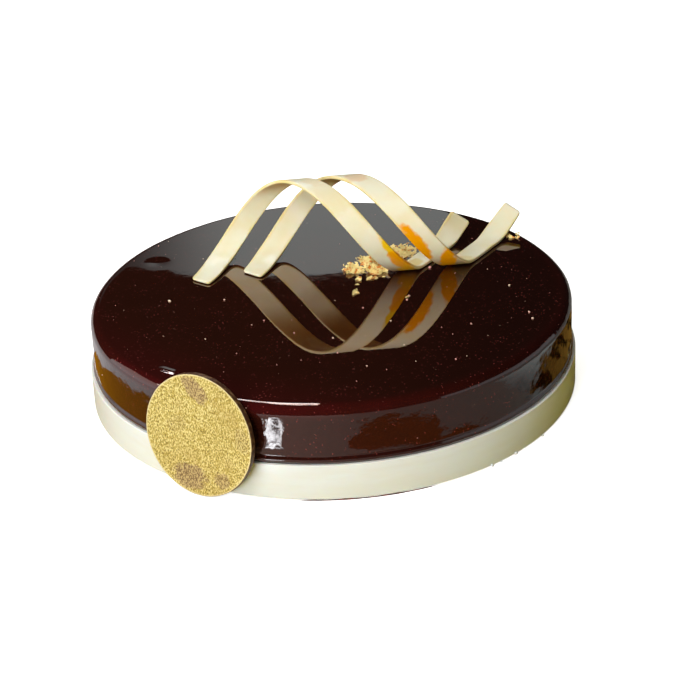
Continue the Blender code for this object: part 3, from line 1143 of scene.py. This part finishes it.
@dataclass
class ChocolateBand:
    """The white chocolate strip round the torte's foot, with its crumbs and the glaze under it.

    Each crumb has its angle to the right of the front, in degrees, and its size.
    """

    outer: float = 0.1200
    thickness: float = 0.0020
    bottom: float = 0.0006
    top: float = 0.0181
    edge: float = 0.00045
    waver: float = 0.00022
    segments: int = 420
    crumbs: tuple[Point, ...] = ((35.9, 0.0011), (43.3, 0.0013), (53.5, 0.0009), (38.6, 0.0006))
    crumb_rise: float = 0.62
    crumb_lumps: float = 0.0011
    seep_from: float = -10.0
    seep_to: float = 22.0
    seep_height: float = 0.00050
    seep_half_width: float = 0.00068
    seep_inset: float = 0.00035
    seep_steps: int = 220

    def strip(self, finish: Material) -> None:
        """Sweeps the strip's section round the torte, with a slightly wavering edge.

        Args:
            finish: The chocolate.
        """
        tall = self.top - self.bottom
        sizes = {
            "Rail Radius": self.outer - self.thickness / 2,
            "Thickness": self.thickness,
            "Height": tall,
            "Edge Round": self.edge,
            "Waver": self.waver,
            "Sides": self.segments,
        }
        tree = ShapeTree("swept band", sizes)
        given = tree.given
        inputs = {"Resolution": given["Sides"], "Radius": given["Rail Radius"]}
        rail = tree.form("CurvePrimitiveCircle", inputs)
        upright = tree.form("SetCurveNormal", {"Curve": rail}, mode="Z_UP")
        inputs = {"Width": given["Thickness"], "Height": given["Height"]}
        inputs = {"Curve": tree.form("CurvePrimitiveQuadrilateral", inputs), "Radius": given["Edge Round"]}
        section = tree.form("FilletCurve", {**inputs, "Count": 4}, mode="POLY")
        swept = tree.form("CurveToMesh", {"Curve": upright, "Profile Curve": section})
        place = tree.place()
        flat = tree.vector_math("MULTIPLY", place, (1.0, 1.0, 0.0))
        sway = tree.minus(tree.noise(flat, 34.0, 3.0), 0.5)
        nick = tree.minus(tree.noise(flat, 210.0), 0.5)
        rise = tree.times(tree.plus(sway, tree.times(nick, 0.35)), given["Waver"])
        upper = tree.step(tree.axes(place)[2], 0.0, tall / 2)
        moved = tree.plus(tree.times(rise, upper), (self.top + self.bottom) / 2)
        tree.close(tree.form("SetPosition", {"Geometry": swept, "Offset": tree.joined(0.0, 0.0, moved)}))
        hand_over(tree.grow("chocolate_band", bpy.data.meshes.new("rail"), finish), Slot.BAND, Node.BAND)

    def burrs(self, finish: Material) -> None:
        """Sets the burrs and crumbs of chocolate at the band's foot.

        Args:
            finish: The chocolate.
        """
        grains = []
        for turn, size in self.crumbs:
            grains.append((round_foot(turn) * self.outer + UP * (size * self.crumb_rise), size))
        hand_over(strewn_grains("band_crumbs", grains, self.crumb_lumps, finish), Slot.BAND)

    def seep(self, finish: Material) -> None:
        """Lays the thread of glaze that crept out under the band at the front.

        Args:
            finish: The seeped glaze.
        """
        rings = []
        for station in range(self.seep_steps + 1):
            part = station / self.seep_steps
            out = round_foot(self.seep_from + (self.seep_to - self.seep_from) * part)
            fade = min(1.0, math.sin(math.pi * part) * 3.0 + 0.04)
            thick = fade * (0.66 + 0.34 * wave(out * self.outer, 0.006, 4.0))
            ring = []
            for angle in [0.0, *evenly(0.0, 2 * math.pi, 12)][:-1]:
                reach = self.outer - self.seep_inset + self.seep_half_width * thick * math.cos(angle)
                level = self.seep_height * thick * (0.5 + 0.5 * math.sin(angle))
                ring.append(out * reach + UP * level)
            rings.append(ring)
        hand_over(mesh_object(swept_mesh("glaze_seep", rings), finish), Slot.GLAZE)

    def build(self, chocolate: Material, seeped: Material) -> None:
        """Builds the strip, its crumbs and the seeped glaze.

        Args:
            chocolate: The strip's and the crumbs' material.
            seeped: The seeped glaze's material.
        """
        self.strip(chocolate)
        self.burrs(chocolate)
        self.seep(seeped)


# The curls


@dataclass
class Curl:
    """One strip wound on a level tube, its foot flat on the glaze and its tail lifted."""

    node: Node
    apex: Point
    turn: float
    radius: float
    advance: float
    width: float
    sink: float
    first_arc: float
    last_arc: float
    tail_start: float
    tail_bend: float
    tail_taper: float
    smears: tuple[Smear, ...]
    thickness: float = 0.0017
    solid_thickness: float = 0.0024
    rest: float = 0.0015
    trough_softness: float = 0.0008
    foot_softness: float = 0.0015
    foot_slide: float = 2.18
    foot_length: float = 0.012
    foot_thinness: float = 0.55
    tail_length: float = 0.0280
    stations: int = 360
    corner: float = 0.00055
    end_soft: float = 0.0006
    end_round: float = 0.0014
    waver: float = 0.018
    probe: float = 0.0002

    def section(self, arc: float) -> Point:
        """Places a length of the strip on its tube.

        Args:
            arc: The length along it from its highest point.

        Returns:
            How far forward and how high the strip is there.
        """
        tail_arc = math.pi * self.radius + self.tail_start
        angle = min(arc, tail_arc) / self.radius
        forward = self.radius * math.sin(angle)
        height = self.radius * (1.0 + math.cos(angle)) - self.sink
        if arc > tail_arc:
            bend = self.tail_bend / self.radius
            end = angle + bend * (arc - tail_arc)
            forward += (math.sin(end) - math.sin(angle)) / bend
            height += (math.cos(end) - math.cos(angle)) / bend
        softness = self.trough_softness if arc > 0.0 else self.foot_softness
        over = (height - self.rest) / softness
        lift = softness * (math.log1p(math.exp(-abs(over))) + max(-over, 0.0))
        if arc < 0.0:
            forward += self.foot_slide * lift
        return forward, height + lift

    def point(self, arc: float, across: float, off: float) -> Vector:
        """Returns a point of the strip.

        Args:
            arc: The length along it from its highest point.
            across: The place over its width, from -1 to 1.
            off: The distance out of the tube.

        Returns:
            The place in space.
        """
        arc -= across * self.advance * self.width / (1.0 + self.advance**2) / 2
        along = Vector((math.cos(self.turn), math.sin(self.turn), 0.0))
        back = Vector((-math.sin(self.turn), math.cos(self.turn), 0.0))
        past = max(arc - math.pi * self.radius - self.tail_start, 0.0) / self.tail_length
        half = self.width / 2 * (1.0 - self.tail_taper * past * past)
        forward, height = self.section(arc)
        before, after = self.section(arc - self.probe), self.section(arc + self.probe)
        normal = back * (after[1] - before[1]) + UP * (after[0] - before[0])
        place = Vector((*self.apex, GLAZED_TOP + height)) + along * (self.advance * arc + across * half)
        return place - back * forward + normal.normalized() * off

    def ring(self) -> list[Point]:
        """Returns the section's outline: places from -1 to 1 over the width and over the thickness."""
        edge = self.corner / (self.width / 2)
        low = 1.0 - 2 * self.corner / self.thickness
        columns = [-1.0 + edge, *evenly(-1.0 + edge, 1.0 - edge, 10)]
        corner = arc_points((0.0, 0.0), 1.0, 90, 0, 4)[1:]
        right = [(1.0 - edge + edge * x, low + (1.0 - low) * y) for x, y in corner]
        upper = [(across, 1.0) for across in columns] + right
        lower = [(across, -off) for across, off in reversed(right)]
        lower += [(across, -1.0) for across in reversed(columns)]
        left = [(-across, -off) for across, off in right]
        return upper + lower + left + [(-across, off) for across, off in reversed(right)]

    def build(self) -> None:
        """Sweeps the strip with softened ends and a hand-cut waver, maps it and dresses it."""
        outline = self.ring()
        rings = []
        chart = []
        length = self.last_arc - self.first_arc
        for part in [0.0, *evenly(0.0, 1.0, self.stations)]:
            arc = self.first_arc + length * part
            end = min(part, 1.0 - part) * length
            place = Vector((arc, self.radius, self.turn))
            thin_foot = self.foot_thinness
            thin_foot += (1.0 - self.foot_thinness) * min(1.0, part * length / self.foot_length)
            soft = 0.65 + 0.35 * rounding(end / self.end_soft)
            thick = self.thickness / 2 * soft * thin_foot * (1.0 + 0.05 * wave(place, 0.011, 1.0))
            shift = self.solid_thickness / 2 - self.thickness / 2 * thin_foot
            pull = 1.0 - self.end_round / (self.width / 2) * (1.0 - rounding(end / self.end_round))
            ring = []
            for across, off in outline:
                cut = 1.0 + self.waver * wave(place, 0.013, 2.0 if across > 0 else 3.0)
                ring.append(self.point(arc, across * cut * pull, shift + off * thick))
                chart.append((part, 0.5 + 0.5 * across))
            rings.append(ring)
        name = self.node.value
        mesh = swept_mesh(name + "_fine", rings)
        chart_mesh(mesh, "strip", chart)
        # Painted shade: how far each point faces down, which browns the curl's undersides.
        under = mesh.attributes.new("under", "FLOAT", "POINT")
        under.data.foreach_set("value", [max(0.0, -vert.normal.z) for vert in mesh.vertices])
        finish = CurlChocolate(f"cream chocolate {name[5:]}", self.first_arc, self.last_arc, self.smears)
        hand_over(mesh_object(mesh, finish.material()), Slot.CURL, self.node)


def both_curls() -> tuple[Curl, Curl]:
    """Returns the front and the back curl."""
    orange = (1.0, 0.38, 0.0)
    yellow = (1.0, 0.62, 0.01)
    ochre = (0.80, 0.62, 0.20)
    front = Curl(
        node=Node.CURL_FRONT,
        apex=(-0.0082, 0.0323),
        turn=0.062,
        radius=0.02424,
        advance=0.764,
        width=0.0134,
        sink=0.00311,
        first_arc=-0.0745,
        last_arc=0.1028,
        tail_start=-0.0040,
        tail_bend=1.25,
        tail_taper=-0.05,
        smears=(
            Smear(45.5, 0.92, 9.5, 0.46, yellow),
            Smear(52.0, 0.62, 7.5, 0.60, orange, 0.95),
            Smear(58.5, 0.25, 4.6, 0.80, (0.95, 0.48, 0.01), 0.85),
            Smear(65.5, -0.10, 6.0, 0.75, ochre, 0.8),
            Smear(12.0, 0.0, 10.0, 1.2, (0.84, 0.68, 0.33), 0.35),
            Smear(0.0, 0.3, 7.0, 0.7, (0.84, 0.66, 0.36), 0.45),
        ),
    )
    back = Curl(
        node=Node.CURL_BACK,
        apex=(0.0165, 0.0341),
        turn=0.068,
        radius=0.02382,
        advance=0.771,
        width=0.0140,
        sink=0.00206,
        first_arc=-0.0721,
        last_arc=0.1067,
        tail_start=0.0134,
        tail_bend=0.06,
        tail_taper=0.29,
        smears=(
            Smear(37.5, -0.72, 10.5, 0.70, orange),
            Smear(54.5, 0.0, 5.4, 1.5, orange, slope=-4.5),
            Smear(64.0, 0.2, 6.0, 0.9, ochre, 0.5),
            Smear(-0.5, 0.0, 5.0, 1.0, (0.80, 0.45, 0.20), 0.5),
        ),
    )
    return front, back


# The gilded disc


@dataclass
class GildedDisc:
    """The gilded chocolate disc that stands in front and leans on the torte. Its face is bare."""

    radius: float = 0.0292
    thickness: float = 0.0030
    soft: float = 0.00045
    rim_width: float = 0.0010
    rim_slope: float = 0.0006
    rim_rise: float = 0.00014
    grain_rise: float = 0.00003
    gold_inset: float = 0.00022
    edge_waver: float = 0.00010
    segments: int = 220
    round_torte: float = -30.8
    facing: float = math.radians(-33.4)
    lean: float = math.radians(7.6)
    foot_reach: float = 0.1271
    patches: tuple[BarePatch, ...] = (
        BarePatch(-2.2, 22.0, 8.4, 4.4, -0.62, 0.95),
        BarePatch(-4.6, -21.0, 9.8, 6.4, 0.05, 0.95),
        BarePatch(13.2, -19.0, 4.6, 3.8, 0.4, 0.80),
        BarePatch(24.0, 3.0, 4.0, 6.0, 0.3, 0.40),
        BarePatch(-12.0, 3.0, 6.0, 4.0, 0.5, 0.25),
    )

    def profile(self) -> list[Point]:
        """Returns the outline from the middle of the back to the middle of the face."""
        half = self.thickness / 2
        inner = self.radius - self.soft
        points = [(0.0, -half)] + [(reach, -half) for reach in evenly(0.002, inner, 10)]
        points += arc_points((inner, self.soft - half), self.soft, -90, 0, 4)[1:]
        points += [(self.radius, level) for level in evenly(self.soft - half, half - self.soft, 4)]
        points += arc_points((inner, half - self.soft), self.soft, 0, 90, 5)[1:]
        return points + [(reach, half) for reach in evenly(inner, 0.0, 44)]

    def matrix(self) -> Matrix:
        """Returns how the disc stands: on its lowest edge, leaning back on the torte."""
        level, raised = math.cos(self.lean), math.sin(self.lean)
        facing = Vector((math.sin(self.facing), -math.cos(self.facing), 0.0))
        centre = round_foot(self.round_torte) * self.foot_reach - facing * (self.radius * raised)
        centre.z = self.radius * level + self.thickness * raised
        normal = facing * level + UP * raised
        turned = Matrix.Rotation(self.facing, 4, "Z") @ Matrix.Rotation(math.pi / 2 - self.lean, 4, "X")
        return Matrix.Translation(centre - normal * self.thickness / 2) @ turned

    def press(self, place: Vector) -> Vector:
        """Gives the face its raised rim and its pressed grain, and the edge a slight waver.

        Args:
            place: A point of the turned form.

        Returns:
            Where it is moved to.
        """
        reach = math.hypot(place.x, place.y)
        if place.z > self.thickness / 2 - 1e-6:
            inner = self.radius - self.soft - self.rim_width
            sunk = 1.0 - share(reach, inner, inner + self.rim_slope)
            place.z -= self.rim_rise * sunk
            place.z += sunk * self.grain_rise * (wave(place, 0.0016, 2.0) + 1.5 * wave(place, 0.006, 3.0))
        if reach > 1e-6:
            out = self.edge_waver * wave(place, 0.009, 7.0) * min(1.0, reach / self.radius) ** 4
            place.x *= 1.0 + out / reach
            place.y *= 1.0 + out / reach
        return place

    def build(self) -> None:
        """Builds the disc, maps its face and dresses it: gold in front, chocolate at edge and back."""
        mesh = turned_mesh("disc_fine", self.profile(), self.segments)
        across = [(vert.co.x / self.radius, vert.co.y / self.radius) for vert in mesh.vertices]
        chart_mesh(mesh, "face", [(0.5 + 0.5 * x, 0.5 + 0.5 * y) for x, y in across])
        for vert in mesh.vertices:
            vert.co = self.press(vert.co)
        for face in mesh.polygons:
            high = face.center.z > self.thickness / 2 - self.rim_slope
            front = high and math.hypot(*face.center.xy) < self.radius - self.gold_inset
            face.material_index = 0 if front else 1
        mesh.transform(self.matrix())
        gold = GoldDust("brushed gold dust", self.patches).material()
        hand_over(mesh_object(mesh, gold, DarkChocolate().material()), Slot.GOLD, Node.DISC)


# The studio


@dataclass(frozen=True)
class Card:
    """A glowing card that only glossy surfaces mirror.

    It may fade in from left to right between two places, and have dark streaks of this scale.
    """

    name: str
    outline: list[Place]
    colour: Colour
    strength: float
    fade: Point | None = None
    streaks: float | None = None
    faded: float = 0.12
    streaked: float = 0.06

    def glow(self) -> Material:
        """Lays its plain glowing material."""
        material = bpy.data.materials.new(self.name)
        material.use_nodes = True
        bench = Bench(material.node_tree)
        bench.tree.nodes.remove(bench.tree.nodes["Principled BSDF"])
        glow = bench.add("ShaderNodeEmission", {"Color": (*self.colour, 1.0), "Strength": self.strength})
        place = bench.add("ShaderNodeTexCoord").outputs["Object"]
        strength = None
        if self.fade:
            ends = (self.strength * self.faded, self.strength)
            strength = bench.step(bench.axes(place)[0], *self.fade, ends)
        if self.streaks:
            ends = (self.strength * self.streaked, self.strength)
            strength = bench.step(bench.noise(place, self.streaks, 3.0, 0.6), 0.44, 0.54, ends)
        if strength:
            bench.tree.links.new(strength, glow.inputs["Strength"])
        bench.tree.links.new(glow.outputs[0], bench.tree.nodes["Material Output"].inputs["Surface"])
        return material


@dataclass(frozen=True)
class Lamp:
    """A rectangular soft light that faces the torte."""

    name: str
    place: Place
    size: Point
    watts: float
    mirrored: bool = False


def lying(height: float, *outline: Point) -> list[Place]:
    """Returns a card's outline that lies this high over the table, from points in millimetres."""
    return [(x * MM, y * MM, height) for x, y in outline]


def side_wall(x: float, near: float, far: float, height: float) -> list[Place]:
    """Returns the outline of a wall at the side, from its near end to its far end."""
    return [(x, near, 0.0), (x, far, 0.0), (x, far, height), (x, near, height)]


def all_cards() -> list[Card]:
    """Returns the cards that give the glaze its mirrored shapes, placed where it mirrors them."""
    crest = [
        (-300, 341), (-190, 342), (-151, 343), (-138, 345), (-130, 351), (-118, 353), (-88, 355), (-63, 358),
        (-8, 360), (26, 360), (56, 357), (78, 351), (90, 338), (100, 316), (104, 309), (108, 240),
        (-300, 240),
    ]
    wall_behind = [(x * MM, 0.700, z * MM) for x, z in crest]
    table_left = lying(0.0005, (-1100, -900), (-130, -600), (-130, 400), (-1100, 500))
    pane = [(-0.30, 0.97), (-0.036, 1.0), (-0.036, 1.4), (-0.13, 3.2), (-0.30, 3.2)]
    window_behind = [(x, 1.3, z) for x, z in pane]
    glint = lying(0.001, (-75, -185), (-63, -193), (-43, -153), (-57, -147))
    patch_right = lying(
        0.0006, (137, -66), (147, -51), (158, -37), (167, -25), (190, 15), (225, -5), (200, -80), (160, -115)
    )
    warm_left = lying(
        0.0008, (-122, 40), (-143, 38), (-150, 12), (-160, -6), (-164, -27), (-158, -50), (-155, -68),
        (-150, -84), (-112, -66), (-120, -40), (-124, 0),
    )
    brown_front = lying(
        0.0008, (7, -160), (9, -170), (26, -182), (38, -181), (49, -184), (60, -175), (70, -170), (90, -152),
        (91, -146), (83, -143), (84, -136), (99, -121), (112, -105), (100, -108), (65, -136), (45, -146),
    )
    brown_right = lying(
        0.0008, (130, -62), (137, -62), (147, -47), (158, -33), (167, -21), (185, 15), (175, 60), (128, 60),
        (124, 0),
    )
    return [
        Card("pale wall behind", wall_behind, (0.93, 1.15, 1.20), 0.48, fade=(-0.185, -0.060)),
        Card("pale wall left", side_wall(-1.1, -0.9, 0.5, 0.80), (1.0, 0.96, 0.98), 0.68),
        Card("pale table left", table_left, (1.0, 0.94, 0.95), 0.50),
        Card("pale wall right", side_wall(0.9, -0.9, 0.4, 0.34), (0.94, 0.97, 1.0), 0.30),
        Card("window behind", window_behind, (1.0, 1.1, 1.2), 9.0, streaks=16.0),
        Card("glint", glint, (0.97, 0.97, 1.0), 8.0, streaks=110.0),
        Card("pale patch right", patch_right, (0.90, 1.0, 0.97), 0.41, fade=(0.125, 0.180)),
        Card("warm card left", warm_left, (1.0, 0.40, 0.015), 0.31),
        Card("brown card front", brown_front, (1.0, 0.30, 0.06), 0.12),
        Card("brown card right", brown_right, (1.0, 0.52, 0.09), 0.14, streaks=60.0),
    ]


@dataclass
class Studio:
    """The floor, the soft lights, the cards that the glaze mirrors and the camera."""

    eye: Place = (0.0, -0.95069, 0.49548)
    yaw: float = 0.0088
    pitch: float = 0.468
    roll: float = -0.0504
    lens: float = 109.94
    aim: Place = (0.0, 0.0, 0.03)
    floor_reach: float = 12.0
    floor_glow: float = 0.75
    floor_dims: Point = (-0.06, 0.07)
    white: Colour = (1.0, 1.0, 1.0)
    fill: Colour = (0.06, 0.0528, 0.0216)
    gloss: Colour = (0.007, 0.006, 0.006)
    pale: Colour = (0.96, 0.96, 0.96)
    gilt: Colour = (0.72, 0.57, 0.07)
    mirrored_left: Colour = (0.41, 0.30, 0.275)
    mirrored_right: Colour = (0.188, 0.180, 0.168)
    lamps: tuple[Lamp, ...] = (
        Lamp("key", (-0.62, -1.05, 1.35), (0.55, 0.40), 11.3),
        Lamp("front left fill", (-0.80, -1.7, 0.55), (0.9, 0.7), 24.5),
        Lamp("overhead", (-0.35, 0.1, 1.9), (2.0, 2.0), 10.0),
        Lamp("back fill", (0.0, 1.8, 0.8), (1.6, 0.8), 14.0),
        Lamp("left window", (-1.5, 0.05, 0.9), (0.35, 0.5), 5.0, mirrored=True),
    )

    def sheet(self, name: str, outline: list[Place], material: Material) -> Object:
        """Stages one flat sheet of the surroundings.

        Args:
            name: Its name.
            outline: Its corners in order, in metres.
            material: Its material.

        Returns:
            The sheet.
        """
        mesh = bpy.data.meshes.new(name)
        mesh.from_pydata(outline, [], [tuple(range(len(outline)))])
        mesh.materials.append(material)
        obj = linked(name, mesh)
        return obj

    def stand(self, card: Card) -> None:
        """Stands a card, seen by mirroring surfaces alone.

        Args:
            card: The card.
        """
        obj = self.sheet(card.name, card.outline, card.glow())
        obj.visible_camera = False
        obj.visible_shadow = False
        obj.visible_transmission = False
        obj.visible_volume_scatter = False
        obj.visible_diffuse = False

    def hang(self, lamp: Lamp) -> None:
        """Hangs a soft light.

        Args:
            lamp: The light.
        """
        light = bpy.data.lights.new(lamp.name, "AREA")
        light.shape = "RECTANGLE"
        light.size, light.size_y = lamp.size
        light.energy = lamp.watts
        obj = linked(lamp.name, light)
        obj.location = lamp.place
        obj.rotation_euler = (Vector(self.aim) - obj.location).to_track_quat("-Z", "Y").to_euler()
        obj.visible_glossy = lamp.mirrored
        obj.visible_camera = False

    def floor(self) -> None:
        """Lays the plain pale floor: dimmer where gloss mirrors it, and warm in the light it throws back."""
        paint = Paint("pale floor", Roughness=0.9, IOR=1.3, Specular_IOR_Level=0.1)
        path = paint.add("ShaderNodeLightPath").outputs
        right = paint.step(paint.axes(paint.place)[0], *self.floor_dims)
        mirrored = paint.mix(right, self.mirrored_left, self.mirrored_right)
        bounced = paint.mix(path["Is Diffuse Ray"], self.pale, self.gilt)
        paint.set("Base Color", paint.mix(path["Is Glossy Ray"], bounced, mirrored))
        paint.shader.inputs["Emission Color"].default_value = (*self.white, 1.0)
        paint.set("Emission Strength", paint.times(path["Is Camera Ray"], self.floor_glow))
        far = self.floor_reach
        corners = [(-far, -far, 0.0), (far, -far, 0.0), (far, far, 0.0), (-far, far, 0.0)]
        self.sheet("floor", corners, paint.material)

    def world(self) -> None:
        """Lights the scene from all round: white behind the torte, soft fill, and dark in the gloss."""
        world = bpy.data.worlds.new("studio")
        bpy.context.scene.world = world
        world.use_nodes = True
        bench = Bench(world.node_tree)
        path = bench.add("ShaderNodeLightPath").outputs
        shown = bench.mix(path["Is Glossy Ray"], self.fill, self.gloss)
        shown = bench.mix(path["Is Camera Ray"], shown, self.white)
        bench.tree.links.new(shown, bench.tree.nodes["Background"].inputs["Color"])

    def camera(self) -> None:
        """Sets the camera at the photograph's viewing angle."""
        level, down = math.cos(self.pitch), math.sin(self.pitch)
        forward = Vector((math.sin(self.yaw) * level, math.cos(self.yaw) * level, -down))
        right = forward.cross(UP).normalized()
        up = right.cross(forward)
        tilt, tilted = math.cos(self.roll), math.sin(self.roll)
        right, up = right * tilt + up * tilted, up * tilt - right * tilted
        matrix = Matrix((right, up, -forward)).transposed().to_4x4()
        matrix.translation = Vector(self.eye)
        data = bpy.data.cameras.new("camera")
        data.lens = self.lens
        data.sensor_width = 36.0
        camera = linked("camera", data)
        camera.matrix_world = matrix
        bpy.context.scene.camera = camera

    def build(self) -> None:
        """Builds the whole studio."""
        self.floor()
        self.world()
        for card in all_cards():
            self.stand(card)
        for lamp in self.lamps:
            self.hang(lamp)
        self.camera()
        view = bpy.context.scene.view_settings
        view.view_transform = "Standard"
        view.look = "None"


def main() -> None:
    """Builds the torte piece by piece, then the studio round it."""
    logging.basicConfig(level=logging.INFO, format="%(message)s")
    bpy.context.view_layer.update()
    torte = GlazedTorte().build(MirrorGlaze().material())
    GoldLeaf().build(LeafGold().material())
    GlazeSpecks().build(torte, SpeckDust().material())
    ChocolateBand().build(BandChocolate().material(), SeepedGlaze().material())
    for curl in both_curls():
        curl.build()
    GildedDisc().build()
    Studio().build()


if __name__ == "__main__":
    main()
